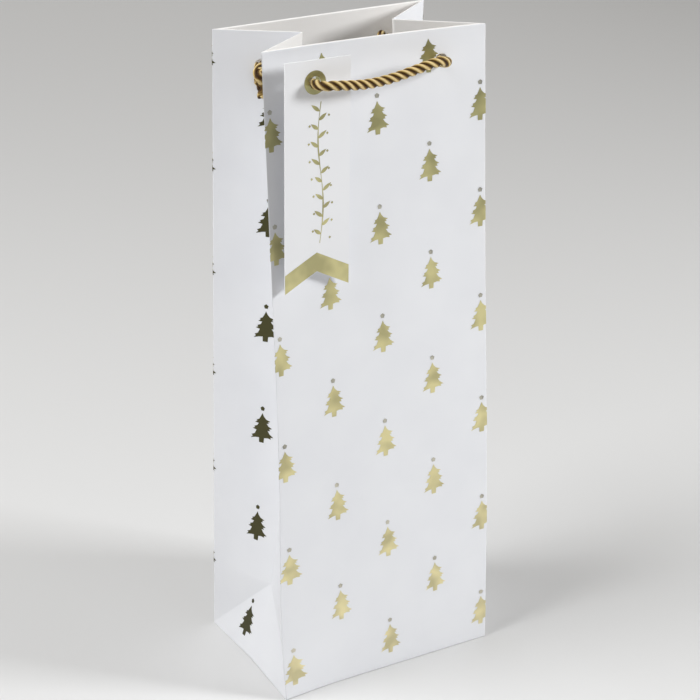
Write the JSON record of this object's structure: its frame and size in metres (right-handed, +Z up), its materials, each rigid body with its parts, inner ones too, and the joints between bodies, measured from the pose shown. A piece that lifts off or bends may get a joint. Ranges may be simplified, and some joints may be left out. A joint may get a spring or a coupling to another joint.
{
  "type": "bottle gift bag",
  "caption": "Tall paper gift bag for a bottle, with inward-folded side gussets, a turned-in mouth, short twisted rope handles and a hanging swallow-tail tag.",
  "frame": {"origin": "middle of the base, on the floor", "axes": "+Z up the bag, the front panel faces -Y, +X to the right as seen from the front"},
  "size_m": [0.127, 0.0994, 0.355],
  "materials": {
    "paper": "white laminated paper with a satin film, printed with gold foil trees",
    "card": "grey stiffening card inside the mouth",
    "base_card": "white board on the base",
    "tag_card": "white satin card with gold foil",
    "rope": "twisted golden rope"
  },
  "bodies": {
    "bag": {"back_base_flap": "paper", "back_panel": "paper", "back_rope_left_end": "rope", "back_rope_left_knot": "rope", "back_rope_right_end": "rope", "back_rope_right_knot": "rope", "back_stiffening_card": "card", "back_top_hem": "paper", "base_board": "base_card", "front_base_flap": "paper", "front_panel": "paper", "front_rope_left_end": "rope", "front_rope_left_knot": "rope", "front_rope_right_end": "rope", "front_rope_right_knot": "rope", "front_stiffening_card": "card", "front_top_hem": "paper", "glued_seam_flap": "paper", "left_base_tuck": "paper", "left_gusset_foot": "paper", "left_gusset_front": "paper", "left_gusset_hem_front": "paper", "left_gusset_hem_rear": "paper", "left_gusset_rear": "paper", "right_base_tuck": "paper", "right_gusset_foot": "paper", "right_gusset_front": "paper", "right_gusset_hem_front": "paper", "right_gusset_hem_rear": "paper", "right_gusset_rear": "paper"},
    "front_handle": {"front_rope_loop": "rope"},
    "back_handle": {"back_rope_loop": "rope"},
    "tag": {"gift_tag": "tag_card"}
  },
  "joints": [
    {"name": "front_handle_swing", "type": "hinge", "parent": "bag", "child": "front_handle", "pos_m": [0, -0.04008, 0.34002], "axis": [-1, 0, 0], "range_deg": [-55, 70]},
    {"name": "back_handle_swing", "type": "hinge", "parent": "bag", "child": "back_handle", "pos_m": [0, 0.04008, 0.34002], "axis": [1, 0, 0], "range_deg": [-55, 70]},
    {"name": "tag_swing", "type": "hinge", "parent": "bag", "child": "tag", "pos_m": [-0.03998, -0.03658, 0.33954], "axis": [0, 1, 0], "range_deg": [-65, 80]}
  ]
}
